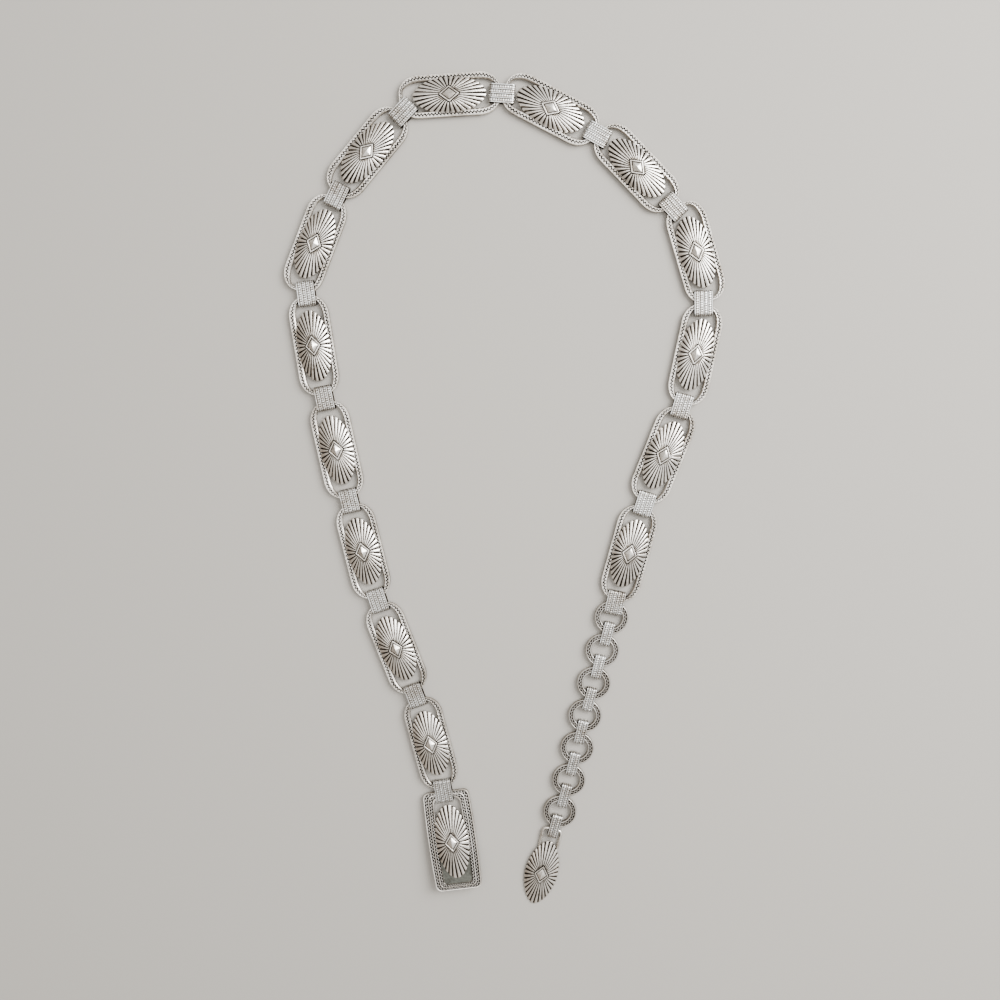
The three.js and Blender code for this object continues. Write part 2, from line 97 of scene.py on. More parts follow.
# The lines along one flute, from a groove at 0 to the next one at 1: broad, with steep narrow sides
FLUTE_LINES = (0.0, 0.07, 0.14, 0.24, 0.36, 0.5, 0.64, 0.76, 0.86, 0.93)

# The turned edge of an oval from below to the top, in millimetres: how far in each line lies, how high,
# and how deep the grooves cut it, and then its tarnish
RIM_EDGE = (
    (0.2, 0, 0, 0.3),
    (0.02, 0.18, 0.02, 0.25),
    (0, 0.42, 0.1, 0.18),
    (0.1, 0.7, 0.25, 0.05),
    (0.24, 0.84, 0.4, 0),
)

# The lines round a dome, as shares of the way from its rim to its core, which the boss hides
DOME_SHARES = (0.0, 0.05, 0.12, 0.21, 0.32, 0.44, 0.56, 0.68, 0.79, 0.9, 1.0)

# Half the core's length and width, as a share of the boss's length and width
CORE_SHARE = 0.31

# The lines round a boss, from the foot of its border to the foot of its pyramid: the share of the
# boss's size, the height over the dome in steps of the border, and the tarnish
BOSS_LINES = (
    (1.16, -1.9, 1),
    (1.15, -0.25, 1),
    (1.09, 0.1, 1),
    (1.02, 0, 1),
    (1.0, 0.4, 0.5),
    (0.975, 0.9, 0.1),
    (0.93, 1, 0.08),
    (0.83, 1, 0.1),
    (0.79, 0.7, 0.4),
    (0.765, 0, 1),
    (0.7, -0.2, 1),
    (0.67, 0.2, 0.4),
    (0.64, 0.6, 0.03),
)

# The lines along one bead of a band, and how high the bead stands at each
BEAD_LINES = (0.0, 0.13, 0.37, 0.5, 0.63, 0.87)
BEAD_HEIGHTS = (0.0, 0.85, 1.0, 1.0, 1.0, 0.85)

# The lines across a plain rib and across a beaded row, as shares of its width, and their heights
RIB_LINES = ((0.0, 0.2), (0.2, 0.9), (0.8, 0.9))
BEADED_LINES = ((0.0, 0.0), (0.2, 0.8), (0.5, 1.0), (0.8, 0.8))


def length(name, description, default):
    """A setting for a length, with its default in millimetres."""
    return FloatProperty(
        name=name, description=description, default=default * MM, unit="LENGTH", precision=5,
    )


class ConchoSizes(bpy.types.PropertyGroup):
    """Sizes of the fluted ovals and their diamond bosses."""
    flutes: IntProperty(name="Flutes", description="Flutes round an oval", default=32, min=8)
    link_length: length("Link oval length", "Length of a link's oval", 38.8)
    link_width: length("Link oval width", "Width of a link's oval", 18.6)
    buckle_length: length("Buckle oval length", "Length of the buckle's oval", 43)
    buckle_width: length("Buckle oval width", "Width of the buckle's oval", 19)
    drop_length: length("Drop oval length", "Length of the drop's oval", 39.9)
    drop_width: length("Drop oval width", "Width of the drop's oval", 18.9)
    power: FloatProperty(
        name="Outline power", description="2 makes the ovals ellipses", default=2, min=1,
    )
    drop_power: FloatProperty(
        name="Drop outline power", description="Less than 2 draws the drop's ends out to points",
        default=1.8, min=1,
    )
    rim: length("Rim", "Thickness of an oval at its rim", 0.9)
    rise: length("Rise", "Rise of the dome from its rim to its boss", 2.1)
    hollow: length("Hollow", "Height of the hollow under the dome", 1.4)
    groove: length("Groove depth", "Depth of the grooves between flutes near the rim", 0.62)
    scallop: length("Scallop", "How far the rim draws in at each groove", 0.55)
    boss_length: length("Boss length", "Length of the diamond boss", 10.9)
    boss_width: length("Boss width", "Width of the diamond boss", 8.3)
    boss_step: length("Boss step", "Height of the boss border over the dome", 0.45)
    boss_rise: length("Boss rise", "Height of the pyramid over the border", 0.99)


class FrameSizes(bpy.types.PropertyGroup):
    """Sizes of the links' open frames."""
    length: length("Length", "Length of a link's frame", 53.2)
    width: length("Width", "Width of a link's frame", 21.85)
    height: length("Height", "Height of bars, frames and rings", 2.2)
    rail: length("Rail", "Width of the two rails", 3.4)
    end_bar: length("End bar", "Width of the two end bars", 1.8)
    outer_long: length("Outer corner length", "Length of an outer corner along the frame", 10.5)
    outer_wide: length("Outer corner width", "Width of an outer corner across the frame", 8.6)
    inner_long: length("Window corner length", "Length of a window corner along the frame", 9.5)
    inner_wide: length("Window corner width", "Width of a window corner across the frame", 4.7)
    bevel: length("Bevel", "How far a rail falls to its inner edge", 0.5)
    zigzag: length("Zigzag step", "Length of one zigzag of the stamped line", 1.9)
    sink: length("Solder", "How deep solder sinks one part into another", 0.25)


class BandSizes(bpy.types.PropertyGroup):
    """Sizes of the folded bands and their stamped rows."""
    height: length("Height", "Height of a band", 4.4)
    wall: length("Wall", "Thickness of the strip", 0.8)
    corner: length("Corner", "Outer radius where the strip folds", 1.6)
    fold: length("Fold", "Inner radius where the strip folds", 0.5)
    wide_length: length("Wide band length", "Length of a band between links", 13.8)
    wide_width: length("Wide band width", "Width of a band between links", 9.6)
    narrow_length: length("Narrow band length", "Length of a band between rings", 14)
    narrow_width: length("Narrow band width", "Width of a band between rings", 5.6)
    relief: length("Relief", "Depth of the stamped rows", 0.24)
    bead: length("Bead", "Spacing of the beads along a row", 1.25)
    row: length("Beaded row", "Width of a beaded row", 1.5)
    rib: length("Rib", "Width of a plain rib between beaded rows", 0.7)
    round_end: length("Round end", "How far a strip draws in at its folds", 0.2)


class RingSizes(bpy.types.PropertyGroup):
    """Sizes of the rings."""
    outer: length("Outer diameter", "Outer diameter of a ring", 18.5)
    inner: length("Inner diameter", "Inner diameter of a ring", 12)
    zigzags: IntProperty(name="Zigzags", description="Zigzags round a ring", default=26, min=8)


class BuckleSizes(bpy.types.PropertyGroup):
    """Sizes of the buckle's plate and hook."""
    length: length("Length", "Length of the buckle plate", 57.4)
    width: length("Width", "Width of the buckle plate at its ends", 26.1)
    bow: length("Bow", "How far each long side bows out", 0.76)
    corner: length("Corner", "Radius of the plate's corners", 3)
    rail: length("Side rail", "Width of the side rails", 5.6)
    belt_rail: length("Belt rail", "Width of the rail at the belt end", 3.6)
    free_rail: length("Free rail", "Width of the rail at the free end", 4.1)
    inner_corner: length("Inner corner", "Radius of the window's corners", 4.5)
    floor_corner: length("Floor corner", "Radius of the recessed floor's corners", 1.5)
    bevel: length("Bevel", "How far the rails fall to their inner edge", 0.5)
    floor: length("Floor", "Height of the recessed floor over the plate's underside", 1.5)
    oval_shift: length("Oval shift", "How far the oval sits towards the free end", 0.4)
    zigzag: length("Zigzag step", "Length of one zigzag of the stamped lines", 1.95)
    hook_width: length("Hook width", "Width of the hook", 7)
    hook_strip: length("Hook strip", "Thickness of the hook", 1.1)
    hook_loop: length("Hook loop", "Inner height of the hook's loop", 2.3)
    hook_length: length("Hook length", "Length of the hook's tongue", 9)
    hook_seat: length("Hook seat", "Length of the hook's soldered leg", 5)
    hook_from_end: length("Hook from end", "Distance of the hook from the free end", 5)


class DropSizes(bpy.types.PropertyGroup):
    """Sizes of the bail that the drop hangs by."""
    wire: length("Bail wire", "Diameter of the bail's wire", 1.7)
    width: length("Bail width", "Width of the bail across its bar", 12.2)
    foot_width: length("Bail foot width", "Width of the bail at its soldered feet", 10)
    reach: length("Bail reach", "From the bail's bar to the oval", 7.8)
    foot: length("Bail foot", "Length of each soldered foot", 4.5)
    corner: length("Bail corner", "Radius of the bail's corners", 2.2)


def colour(name, description, default):
    """A setting for a colour, with its default as an sRGB hex value."""
    return StringProperty(name=name, description=description, default=default)


class SilverFinish(bpy.types.PropertyGroup):
    """Colours of the silver, from rubbed bright to black oxide."""
    worn: colour("Worn silver", "Silver rubbed bright on raised parts", "#F3EEE6")
    aged: colour("Aged silver", "Silver with a thin film of tarnish", "#A79E92")
    dark: colour("Dark silver", "Silver under thick tarnish", "#40372F")
    oxide: colour("Oxide", "Black oxide in the grooves", "#0B0908")
    strip: colour("Strip silver", "Cooler silver of the stamped bands", "#DADCDB")
    ring: colour("Ring silver", "Duller silver of the rings", "#C2BFB9")
    plate: colour("Plate silver", "Smooth grey silver of the buckle's floor", "#85877F")
    plate_dark: colour("Plate tarnish", "Grey tarnish on the buckle's floor", "#5F605A")


class Studio(bpy.types.PropertyGroup):
    """The floor, the light and the camera."""
    floor: colour("Floor", "Plain pale floor", "#A39F98")
    bright_side: colour("Bright side", "Side of the room that the light comes from", "#FFFFFF")
    walls: colour("Walls", "The room between its two sides", "#CBC7C1")
    dim_side: colour("Dim side", "Warm dim side of the room", "#93887D")
    key: FloatProperty(
        name="Key light", description="Soft window at the upper right", default=36, unit="POWER",
    )
    fill: FloatProperty(
        name="Fill light", description="Weak soft light from above", default=6, unit="POWER",
    )
    sky: FloatProperty(
        name="Sky", description="Strength of the surrounding light", default=1.35, min=0,
    )
    camera: FloatVectorProperty(
        name="Camera place", description="Where the camera stands", subtype="TRANSLATION",
        default=(0.02585, 0.07708, 0.59429),
    )
    aim: FloatVectorProperty(
        name="Camera turn", description="How the camera is turned", subtype="EULER",
        default=(math.radians(-7.029), math.radians(2.640), math.radians(0.09)),
    )
    lens: FloatProperty(name="Lens", description="Focal length in millimetres", default=39.24, min=1)


GROUPS = {
    "concho_sizes": ConchoSizes,
    "frame_sizes": FrameSizes,
    "band_sizes": BandSizes,
    "ring_sizes": RingSizes,
    "buckle_sizes": BuckleSizes,
    "drop_sizes": DropSizes,
    "silver_finish": SilverFinish,
    "studio": Studio,
}


# Outlines

def rounded_outline(half_long, half_wide, corner_long, corner_wide):
    """A function that gives points of a rectangle with elliptic corners.

    Each whole number among the places starts a corner, or the straight side after it.
    """
    def at(places):
        places = np.asarray(places) % ONCE_ROUND
        part = places.astype(int)
        share = places - part
        quarter = part // 2
        sign_x = np.where((quarter == 0) | (quarter == 3), 1, -1)
        sign_y = np.where(quarter < 2, 1, -1)
        middle_x = half_long - corner_long
        middle_y = half_wide - corner_wide
        turn = (quarter + share) * math.pi / 2
        x = sign_x * middle_x + corner_long * np.cos(turn)
        y = sign_y * middle_y + corner_wide * np.sin(turn)
        along = 1 - 2 * share
        straight = part % 2 == 1
        x = np.where(straight & (quarter % 2 == 0), sign_x * middle_x * along, x)
        y = np.where(straight & (quarter % 2 == 0), sign_y * half_wide, y)
        x = np.where(straight & (quarter % 2 == 1), sign_x * half_long, x)
        y = np.where(straight & (quarter % 2 == 1), sign_y * middle_y * along, y)
        return np.stack([x, y], axis=1)
    return at


def even(count):
    """Shares of the way round that lie equally far apart."""
    return np.arange(count) / count


def repeated(lines, count):
    """Shares of the way round for lines that repeat so many times."""
    return (np.arange(count)[:, None] + np.array(lines)[None, :]).ravel() / count


def places_at(outline, shares, whole=ONCE_ROUND):
    """The places that lie at the given shares of an outline's length."""
    fine = np.linspace(0, whole, FINE_STEPS)
    steps = np.linalg.norm(np.diff(outline(fine), axis=0), axis=1)
    travelled = np.concatenate([[0], np.cumsum(steps)])
    return np.interp(shares * travelled[-1], travelled, fine)


def perimeter(outline):
    """The length once round an outline."""
    points = outline(np.linspace(0, ONCE_ROUND, FINE_STEPS))
    return float(np.linalg.norm(np.diff(points, axis=0), axis=1).sum())


def oval_points(half_long, half_wide, power, shares):
    """Points at shares of the way round an oval, and the outward direction at each."""
    halves = np.array([half_long, half_wide])

    def outline(turns):
        turned = np.stack([np.cos(turns), np.sin(turns)], axis=1)
        return halves * np.sign(turned) * np.abs(turned) ** (2 / power)

    points = outline(places_at(outline, shares, 2 * math.pi))
    outward = np.sign(points) * np.abs(points / halves) ** (power - 1) / halves
    outward /= np.linalg.norm(outward, axis=1)[:, None]
    return points, outward


# Modelling

def edit(piece):
    """Opens a piece for editing and gives its mesh."""
    bpy.ops.object.select_all(action="DESELECT")
    piece.select_set(True)
    bpy.context.view_layer.objects.active = piece
    bpy.ops.object.mode_set(mode="EDIT")
    bpy.ops.mesh.select_mode(type="VERT")
    return bmesh.from_edit_mesh(piece.data)


def rounded_point(point):
    """A point rounded to a ten-thousandth of a millimetre, so that the same point is found again."""
    return tuple(round(value * 1e7) for value in point)


def loft(name, loops, closed=False, smooth=40):
    """Draws a piece from one circle of edges, extruded loop by loop.

    loops holds an array for each loop, with a row of x, y, z and tarnish for each point. A closed
    piece runs back to its first loop. Otherwise the first loop is filled and the last one is drawn
    together at its middle.
    """
    bpy.ops.object.select_all(action="DESELECT")
    # The circle starts at any size, since each of its points is set to the first loop below
    bpy.ops.mesh.primitive_circle_add(vertices=len(loops[0]), radius=10 * MM)
    piece = bpy.context.object
    piece.name = name
    piece.data.name = name
    mesh = edit(piece)
    tarnish = mesh.verts.layers.float.new("tarnish")
    for vertex, point in zip(mesh.verts, loops[0]):
        vertex.co = point[:3]
        vertex[tarnish] = point[3]
        vertex.select_set(True)
    mesh.select_flush(True)
    bmesh.update_edit_mesh(piece.data)
    following = list(loops[1:]) + ([loops[0]] if closed else [])
    before = loops[0]
    for loop in following:
        place = {rounded_point(Vector(point[:3])): index for index, point in enumerate(before)}
        bpy.ops.mesh.extrude_edges_move()
        mesh = bmesh.from_edit_mesh(piece.data)
        tarnish = mesh.verts.layers.float["tarnish"]
        for vertex in mesh.verts:
            if vertex.select:
                point = loop[place[rounded_point(vertex.co)]]
                vertex.co = point[:3]
                vertex[tarnish] = point[3]
        bmesh.update_edit_mesh(piece.data)
        before = loop
    if not closed:
        bpy.ops.mesh.merge(type="CENTER")
        bpy.ops.mesh.select_all(action="DESELECT")
        mesh = bmesh.from_edit_mesh(piece.data)
        mesh.verts.ensure_lookup_table()
        for vertex in mesh.verts[:len(loops[0])]:
            vertex.select_set(True)
        mesh.select_flush(True)
        bpy.ops.mesh.edge_face_add()
    bpy.ops.mesh.select_all(action="SELECT")
    bpy.ops.mesh.remove_doubles(threshold=1e-6)
    bpy.ops.mesh.normals_make_consistent(inside=False)
    bpy.ops.object.mode_set(mode="OBJECT")
    bpy.ops.object.shade_smooth_by_angle(angle=math.radians(smooth))
    return piece


def with_tarnish(x, y, z, tarnish):
    """One loop's array from its columns, each an array or one number."""
    columns = np.broadcast_arrays(x, y, z, tarnish)
    return np.stack(columns, axis=1).astype(np.float32).astype(float)


def joined(name, parts):
    """One piece from several soldered parts."""
    bpy.ops.object.select_all(action="DESELECT")
    for part in parts:
        part.select_set(True)
    bpy.context.view_layer.objects.active = parts[0]
    bpy.ops.object.join()
    piece = bpy.context.object
    piece.name = name
    piece.data.name = name
    return piece


def moved(piece, matrix):
    """Moves a piece by its mesh, so that its object stays at the origin."""
    piece.data.transform(matrix)
    piece.data.update()
    return piece


def copied(pattern, name, matrix):
    """A copy of a pattern piece, with a mesh of its own, laid in place."""
    piece = pattern.copy()
    piece.data = pattern.data.copy()
    piece.name = name
    piece.data.name = name
    bpy.context.collection.objects.link(piece)
    return moved(piece, matrix)


def cleared(pattern):
    """Removes a pattern piece once its copies are made."""
    mesh = pattern.data
    bpy.data.objects.remove(pattern)
    bpy.data.meshes.remove(mesh)


# Where the plain solids lie

def node_points(node):
    """The corner points of a plain solid, each once, in the frame's own axes."""
    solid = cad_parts[node]
    points = np.array([solid.matrix_world @ vertex.co for vertex in solid.data.vertices])
    return np.unique(np.round(points, 7), axis=0)


def lie(node):
    """The middle of a solid seen from above, the direction of its long axis, and half its length."""
    points = node_points(node)
    flat = points[:, :2]
    directions = np.linalg.eigh(np.cov((flat - flat.mean(axis=0)).T))[1]
    axis = directions[:, 1]
    side = np.array([-axis[1], axis[0]])
    along = flat @ axis
    across = flat @ side
    middle = axis * (along.min() + along.max()) / 2 + side * (across.min() + across.max()) / 2
    return middle, axis, (along.max() - along.min()) / 2


def laid(node, low_end=None):
    """The matrix that lays a piece where its solid lies, and half the solid's length.

    low_end says which end of the piece touches the ground first, -1 or 1 along its own length.
    """
    middle, axis, half = lie(node)
    if low_end:
        points = node_points(node)
        low = points[points[:, 2] < NEAR_GROUND][:, :2].mean(axis=0)
        if ((low - middle) @ axis) * low_end < 0:
            axis = -axis
    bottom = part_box(node)[0][2]
    turn = Matrix.Rotation(math.atan2(axis[1], axis[0]), 4, "Z")
    return Matrix.Translation((middle[0], middle[1], bottom)) @ turn, half


def coat(piece, kind):
    """Gives a piece its one finish."""
    piece.data.materials.clear()
    piece.data.materials.append(finish(kind))


def dress(piece, node):
    """Lets a finished piece stand for its plain solid."""
    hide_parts(node)
    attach(piece, "root")


def dress_all(pattern, start):
    """Lays a copy of a pattern on each plain solid whose name begins with start."""
    for node in sorted(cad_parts):
        if node.startswith(start):
            piece = copied(pattern, "dressed_" + node, laid(node)[0])
            dress(piece, node)
    cleared(pattern)


# Materials

def linear(code):
    """An sRGB hex colour as the linear one that the shader takes."""
    parts = [int(code[i:i + 2], 16) / 255 for i in (1, 3, 5)]
    return tuple(v / 12.92 if v <= 0.04045 else ((v + 0.055) / 1.055) ** 2.4 for v in parts) + (1,)


def add(tree, kind, settings=None, **links):
    """Adds a node. settings are its sockets' values or its properties, and links its sources.

    A link is named for its socket, with _ for a space, or for its number, as in _0.
    """
    node = tree.nodes.new(kind)
    for name, value in (settings or {}).items():
        if name in node.inputs:
            node.inputs[name].default_value = value
        else:
            setattr(node, name, value)
    for name, source in links.items():
        socket = int(name[1:]) if name[0] == "_" else name.replace("_", " ")
        tree.links.new(source, node.inputs[socket])
    return node


def silver(name, bright, aged, dark, oxide, film, roughness):
    """Oxidised silver: rubbed bright where it stands proud and black in its grooves.

    film is how much tarnish lies over the whole piece. The tarnish of each point is kept in its mesh.
    """
    material = bpy.data.materials.new(name)
    material.use_nodes = True
    tree = material.node_tree
    shader = tree.nodes["Principled BSDF"]
    shader.inputs["Metallic"].default_value = 1
    place = add(tree, "ShaderNodeTexCoord").outputs["Object"]
    tarnish = add(tree, "ShaderNodeAttribute", {"attribute_name": "tarnish"}).outputs["Fac"]

    # Clouds of tarnish about 12 mm wide, and blotches of about 1.2 mm between the marks of wear
    for size, detail, least, most in ((12 * MM, 3, -0.1, 0.17), (1.2 * MM, 4, -0.08, 0.12)):
        noise = add(tree, "ShaderNodeTexNoise", {"Scale": 1 / size, "Detail": detail}, Vector=place)
        limits = {"From Min": 0.35, "From Max": 0.7, "To Min": least, "To Max": most}
        patches = add(tree, "ShaderNodeMapRange", limits, Value=noise.outputs["Fac"])
        total = add(tree, "ShaderNodeMath", {"operation": "ADD"}, _0=tarnish, _1=patches.outputs[0])
        tarnish = total.outputs[0]
    level = add(tree, "ShaderNodeMath", {"operation": "ADD", "use_clamp": True}, _0=tarnish)
    level.inputs[1].default_value = film

    ramp = add(tree, "ShaderNodeValToRGB", Fac=level.outputs[0])
    stops = ramp.color_ramp.elements
    stops[0].color = linear(bright)
    stops[1].color = linear(oxide)
    for position, code in ((0.3, aged), (0.58, dark)):
        stops.new(position).color = linear(code)

    # Polished metal is glossy, and thick oxide nearly matt
    gloss = add(tree, "ShaderNodeMapRange", {"To Min": roughness, "To Max": 0.62}, Value=level.outputs[0])

    # Hammer and polish marks of about 2 mm, and scratches, which are finer on real silver, drawn as
    # coarse as 0.3 mm so that they show
    normal = {}
    for size, strength, depth in ((2 * MM, 0.25, 0.1 * MM), (0.3 * MM, 0.2, 0.03 * MM)):
        marks = add(tree, "ShaderNodeTexNoise", {"Scale": 1 / size, "Detail": 2}, Vector=place)
        relief = {"Strength": strength, "Distance": depth}
        bump = add(tree, "ShaderNodeBump", relief, Height=marks.outputs["Fac"], **normal)
        normal = {"Normal": bump.outputs[0]}
    tree.links.new(ramp.outputs[0], shader.inputs["Base Color"])
    tree.links.new(gloss.outputs[0], shader.inputs["Roughness"])
    tree.links.new(normal["Normal"], shader.inputs["Normal"])
    return material


def finish(kind):
    """One of the belt's finishes, each made once."""
    if kind in bpy.data.materials:
        return bpy.data.materials[kind]
    colours = bpy.context.scene.silver_finish
    bright, aged, film, roughness = {
        # Silver sheet stamped, oxidised and buffed: warm white crests beside black lines
        "oxidised_stamped_silver": (colours.worn, colours.aged, 0.0, 0.22),
        # Strip stamped with rows of beads: cooler and greyer, since buffing only reaches the beads
        "bead_stamped_silver": (colours.strip, colours.aged, 0.0, 0.26),
        # Cast rings with a stamped line, hardly buffed: duller, under a thin film of tarnish
        "cast_ring_silver": (colours.ring, colours.aged, 0.04, 0.28),
        # Smooth rolled plate left as it was oxidised: an even, neutral grey with a soft gloss
        "rolled_plate_silver": (colours.plate, colours.plate_dark, 0.05, 0.3),
    }[kind]
    return silver(kind, bright, aged, colours.dark, colours.oxide, film, roughness)


# Ovals

def oval_concho(name, long, wide, power):
    """An oval dome of rounded flutes with a diamond boss, its rim's underside at z = 0."""
    sizes = bpy.context.scene.concho_sizes
    shares = repeated(FLUTE_LINES, sizes.flutes)
    rim, outward = oval_points(long / 2, wide / 2, power, shares)
    core = oval_points(sizes.boss_length * CORE_SHARE, sizes.boss_width * CORE_SHARE, 2, shares)[0]
    # Across a flute, aside runs from 0 on its crest to 1 in the groove, and low is how far it has fallen
    aside = np.abs(2 * (shares * sizes.flutes % 1) - 1)
    low = 1 - np.sqrt(1 - aside ** 2.6)
    dome_start = 0.42 * MM
    loops = []

    def groove_dark(share):
        """The grooves' black, which takes up more of each flute towards the boss."""
        edges = np.array((0.42, 0.62, 0.8, 1.0)) - np.array((0.2, 0.17, 0.1, 0.0)) * share
        return np.interp(aside, edges, (0.0, 0.2, 0.95, 1.0))

    def underside(share, height):
        """A line of the underside, at a share of the way from inside the scallops to the core."""
        ring = rim - outward * sizes.scallop * 1.4
        x, y = (ring * (1 - share) + core * share).T
        loops.append(with_tarnish(x, y, height, 0.3))

    def edge(inset, height, groove, dark):
        """A line of the turned edge."""
        x, y = (rim - outward * (inset + sizes.scallop * low)[:, None]).T
        loops.append(with_tarnish(x, y, height - groove * low, dark + (1 - dark) * groove_dark(0)))

    def top(share):
        """A line of the dome, at a share of the way from the rim to the core."""
        start = rim - outward * (dome_start + sizes.scallop * low * (1 - share))[:, None]
        x, y = (start * (1 - share) + core * share).T
        height = sizes.rim + sizes.rise * (1 - (1 - share) ** 1.8)
        depth = sizes.groove * (1 - 0.55 * share)
        near_boss = np.clip((share - 0.82) / 0.18, 0, 1)
        dark = np.clip(groove_dark(share) + 0.6 * near_boss, 0, 1)
        loops.append(with_tarnish(x, y, height - depth * low, dark))

    underside(1, sizes.hollow)
    underside(0.55, sizes.hollow * 0.85)
    underside(0.06, 0.15 * MM)
    underside(0.0, 0.02 * MM)
    for inset, height, groove, dark in RIM_EDGE:
        edge(inset * MM, height * MM, groove * MM, dark)
    for share in DOME_SHARES:
        top(share)
    dome = loft(name, loops, smooth=50)

    def diamond(share, height, dark):
        """A line round the boss, with a small bevel at each of its four corners."""
        # A bevel starts this far along each side, and its middle lies this far in from the corner
        bevel = 0.06
        blunt = 0.014
        corners = np.array([[1, 0], [0, 1], [-1, 0], [0, -1]]) * share
        corners = corners * [sizes.boss_length / 2, sizes.boss_width / 2]
        points = []
        for index, corner in enumerate(corners):
            before = corners[index - 1]
            after = corners[(index + 1) % 4]
            points.append(corner + (before - corner) * bevel)
            points.append(corner + (before + after - 2 * corner) * blunt)
            points.append(corner + (after - corner) * bevel)
        x, y = np.array(points).T
        return with_tarnish(x, y, height, dark)

    dome_top = sizes.rim + sizes.rise
    border = [
        diamond(share, dome_top + sizes.boss_step * steps, dark) for share, steps, dark in BOSS_LINES
    ]
    tip = diamond(0.03, dome_top + sizes.boss_step + sizes.boss_rise, 0)
    boss = loft(name + "_boss", [*border, tip], smooth=24)
    oval = joined(name, [dome, boss])
    coat(oval, "oxidised_stamped_silver")
    return oval


# Rails and strips

def railed(name, outlines, count, height, rows):
    """A closed rail between its outlines, with the rows of its relief along it.

    The rows run from the foot of the outer side over the top to the foot of the inner side.
    """
    places = places_at(outlines[0], even(count))
    lines = [outline(places) for outline in outlines]
    weave = np.where(np.arange(count) % 2 == 0, 1.0, -1.0)
    loops = []
    for row in rows:
        part = min(int(row.across), len(lines) - 2)
        share = (row.across - part + row.swing * weave)[:, None]
        x, y = (lines[part] * (1 - share) + lines[part + 1] * share).T
        loops.append(with_tarnish(x, y, height * row.level, row.tarnish))
    return loft(name, loops, closed=True)


def zigzag_rows(middle, swing, half, level, depth):
    """A stamped zigzag line: a narrow black groove that weaves from side to side."""
    wall = half * 0.88
    wall_level = level - depth * 0.7
    return [
        Row(middle - half, level, 0.05, swing),
        Row(middle - wall, wall_level, 1.0, swing),
        Row(middle, level - depth, 1.0, swing),
        Row(middle + wall, wall_level, 1.0, swing),
        Row(middle + half, level, 0.05, swing),
    ]


def ridge_rows(middle, swing, half, field, level, depth, dark):
    """A sunk dark field with a bright zigzag ridge left standing along it."""
    floor = level - depth
    foot = half * 1.4
    wall = 0.02
    return [
        Row(middle - field, level, 0.2),
        Row(middle - field + wall, floor, dark),
        Row(middle - foot, floor, dark, swing),
        Row(middle - half, level, 0.0, swing),
        Row(middle + half, level, 0.0, swing),
        Row(middle + foot, floor, dark, swing),
        Row(middle + field - wall, floor, dark),
        Row(middle + field, level, 0.2),
    ]


class BELT_OT_links(bpy.types.Operator):
    """Adds the fourteen links: an open frame with stamped rails and a fluted oval over them"""
    bl_idname = "belt.links"
    bl_label = "Links"

    def execute(self, context):
        sizes = context.scene.frame_sizes
        half = (sizes.length / 2, sizes.width / 2)
        outer = rounded_outline(*half, sizes.outer_long, sizes.outer_wide)
        inner = rounded_outline(
            half[0] - sizes.end_bar, half[1] - sizes.rail, sizes.inner_long, sizes.inner_wide,
        )
        count = 2 * round(perimeter(outer) / sizes.zigzag)
        fall = sizes.bevel / sizes.height
        rows = [
            Row(0.03, 0.0, 0.3),
            Row(0.0, 0.1, 0.3),
            Row(0.0, 0.72, 0.3),
            Row(0.03, 0.9, 0.08),
            Row(0.08, 0.985, 0.02),
            Row(0.14, 0.985, 0.02),
            Row(0.17, 0.92, 0.25),
            *zigzag_rows(0.47, 0.145, 0.145, 0.91, 0.17),
            Row(0.77, 0.91, 0.15),
            Row(0.8, 0.92, 0.06),
            Row(0.93, 1 - fall, 0.16),
            Row(1.0, 0.66, 0.3),
            Row(1.0, 0.1, 0.35),
            Row(0.97, 0.0, 0.3),
        ]
        rails = railed("link_rails", (outer, inner), count, sizes.height, rows)
        coat(rails, "oxidised_stamped_silver")
        ovals = context.scene.concho_sizes
        oval = oval_concho("link_oval", ovals.link_length, ovals.link_width, ovals.power)
        moved(oval, Matrix.Translation((0, 0, sizes.height - sizes.bevel - sizes.sink / 2)))
        dress_all(joined("link_pattern", [rails, oval]), "link_")
        return {"FINISHED"}


